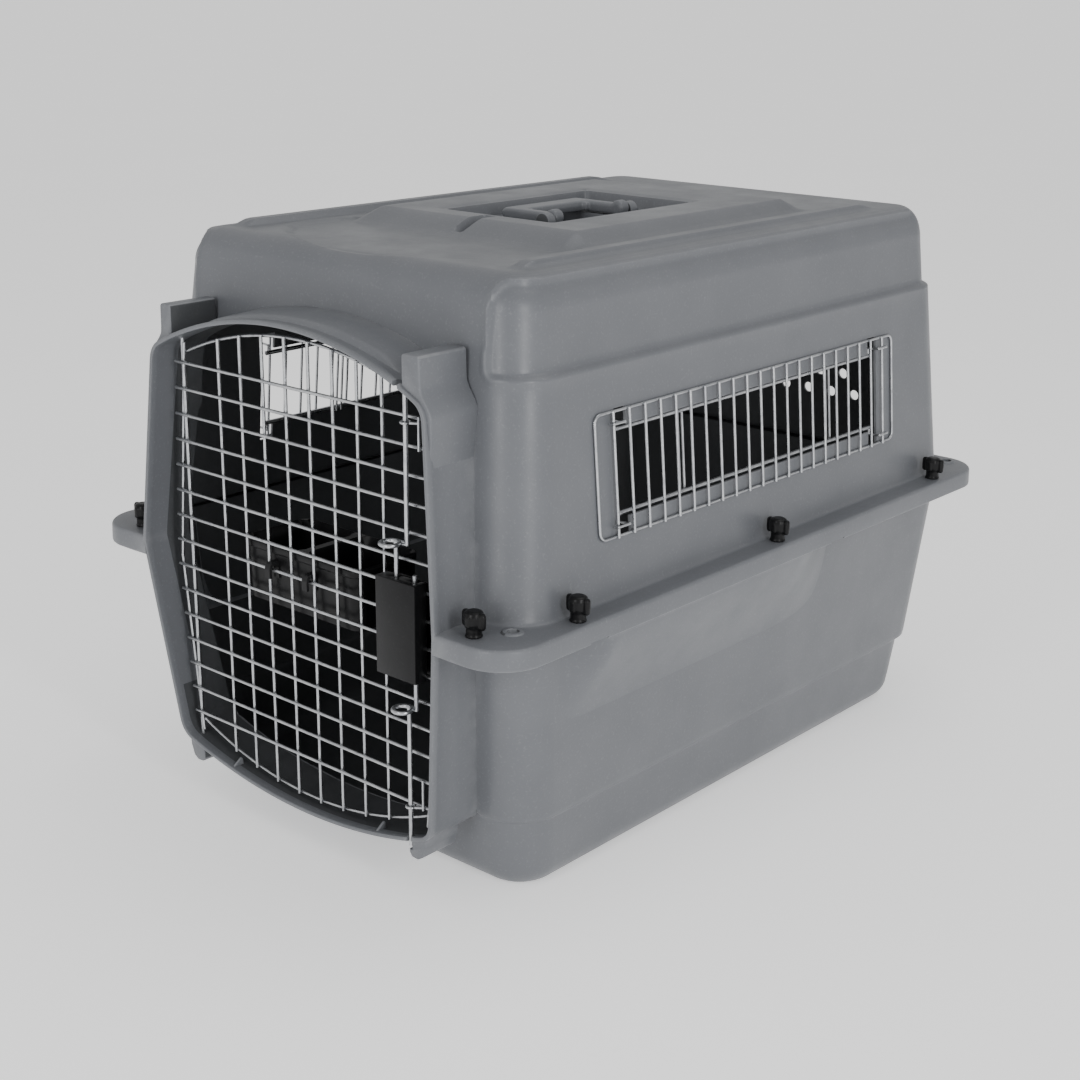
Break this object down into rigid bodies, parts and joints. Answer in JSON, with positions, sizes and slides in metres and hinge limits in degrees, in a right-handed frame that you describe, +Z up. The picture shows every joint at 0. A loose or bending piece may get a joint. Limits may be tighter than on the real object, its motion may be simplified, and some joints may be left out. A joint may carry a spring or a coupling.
{
  "type": "pet transport carrier",
  "caption": "Two-part moulded plastic animal carrier with a hinged wire door, squeeze latch, wire side windows, folding top handle, wing-nut rim and clip-on twin bowl.",
  "frame": {"origin": "on the floor, under the centre of the rim", "axes": "+X to the latch side, door faces -Y, +Z up"},
  "size_m": [0.5716, 0.8256, 0.592],
  "materials": {
    "shell_plastic": "satin moulded polypropylene",
    "wire": "bright zinc-plated wire",
    "black_plastic": "satin",
    "bolt_steel": "zinc plated",
    "label_film": "pale film, blank"
  },
  "bodies": {
    "shell": {"base_tub": "shell_plastic", "top_cover": "shell_plastic", "window_grille_right": "wire", "window_grille_left": "wire", "window_clip_right": "wire", "window_clip_left": "wire", "rim_bolts": "bolt_steel", "blank_label": "label_film"},
    "door": {"door_mesh": "wire", "hinge_rod": "wire", "latch_housing": "black_plastic", "latch_back_plate": "black_plastic"},
    "upper_rod": {"upper_latch_rod": "wire", "upper_latch_spring": "bolt_steel"},
    "lower_rod": {"lower_latch_rod": "wire", "lower_latch_spring": "bolt_steel"},
    "handle": {"carry_handle": "shell_plastic"},
    "bowl": {"twin_bowl": "black_plastic"},
    "nut_front_right": {"wing_nut_front_right": "black_plastic"},
    "nut_front_left": {"wing_nut_front_left": "black_plastic"},
    "nut_right_1": {"wing_nut_right_1": "black_plastic"},
    "nut_right_2": {"wing_nut_right_2": "black_plastic"},
    "nut_right_3": {"wing_nut_right_3": "black_plastic"},
    "nut_left_1": {"wing_nut_left_1": "black_plastic"},
    "nut_left_2": {"wing_nut_left_2": "black_plastic"},
    "nut_left_3": {"wing_nut_left_3": "black_plastic"}
  },
  "joints": [
    {"name": "door_hinge", "type": "hinge", "parent": "shell", "child": "door", "pos_m": [-0.165, -0.3802, 0.278], "axis": [0, 0, -1], "range_deg": [0, 100]},
    {"name": "upper_latch_slide", "type": "slide", "parent": "door", "child": "upper_rod", "axis": [0, 0, -1], "range_m": [0, 0.012], "stiffness_N_per_m": 300, "springref_m": -0.02, "deforming": ["upper_latch_spring"]},
    {"name": "lower_latch_slide", "type": "slide", "parent": "door", "child": "lower_rod", "axis": [0, 0, 1], "range_m": [0, 0.012], "stiffness_N_per_m": 300, "springref_m": -0.02, "deforming": ["lower_latch_spring"]},
    {"name": "bowl_lift", "type": "slide", "parent": "door", "child": "bowl", "axis": [0, 0, 1], "range_m": [0, 0.012]},
    {"name": "handle_fold", "type": "hinge", "parent": "shell", "child": "handle", "pos_m": [0.024, 0, 0.586], "axis": [0, 1, 0], "range_deg": [0, 95]},
    {"name": "nut_front_right_spin", "type": "hinge", "parent": "shell", "child": "nut_front_right", "pos_m": [0.23, -0.391, 0.295], "axis": [0, 0, 1], "continuous": true},
    {"name": "nut_front_left_spin", "type": "hinge", "parent": "shell", "child": "nut_front_left", "pos_m": [-0.23, -0.391, 0.295], "axis": [0, 0, 1], "continuous": true},
    {"name": "nut_right_1_spin", "type": "hinge", "parent": "shell", "child": "nut_right_1", "pos_m": [0.271, -0.302, 0.295], "axis": [0, 0, 1], "continuous": true},
    {"name": "nut_right_2_spin", "type": "hinge", "parent": "shell", "child": "nut_right_2", "pos_m": [0.271, 0.008, 0.295], "axis": [0, 0, 1], "continuous": true},
    {"name": "nut_right_3_spin", "type": "hinge", "parent": "shell", "child": "nut_right_3", "pos_m": [0.271, 0.318, 0.295], "axis": [0, 0, 1], "continuous": true},
    {"name": "nut_left_1_spin", "type": "hinge", "parent": "shell", "child": "nut_left_1", "pos_m": [-0.271, -0.302, 0.295], "axis": [0, 0, 1], "continuous": true},
    {"name": "nut_left_2_spin", "type": "hinge", "parent": "shell", "child": "nut_left_2", "pos_m": [-0.271, 0.008, 0.295], "axis": [0, 0, 1], "continuous": true},
    {"name": "nut_left_3_spin", "type": "hinge", "parent": "shell", "child": "nut_left_3", "pos_m": [-0.271, 0.318, 0.295], "axis": [0, 0, 1], "continuous": true}
  ]
}
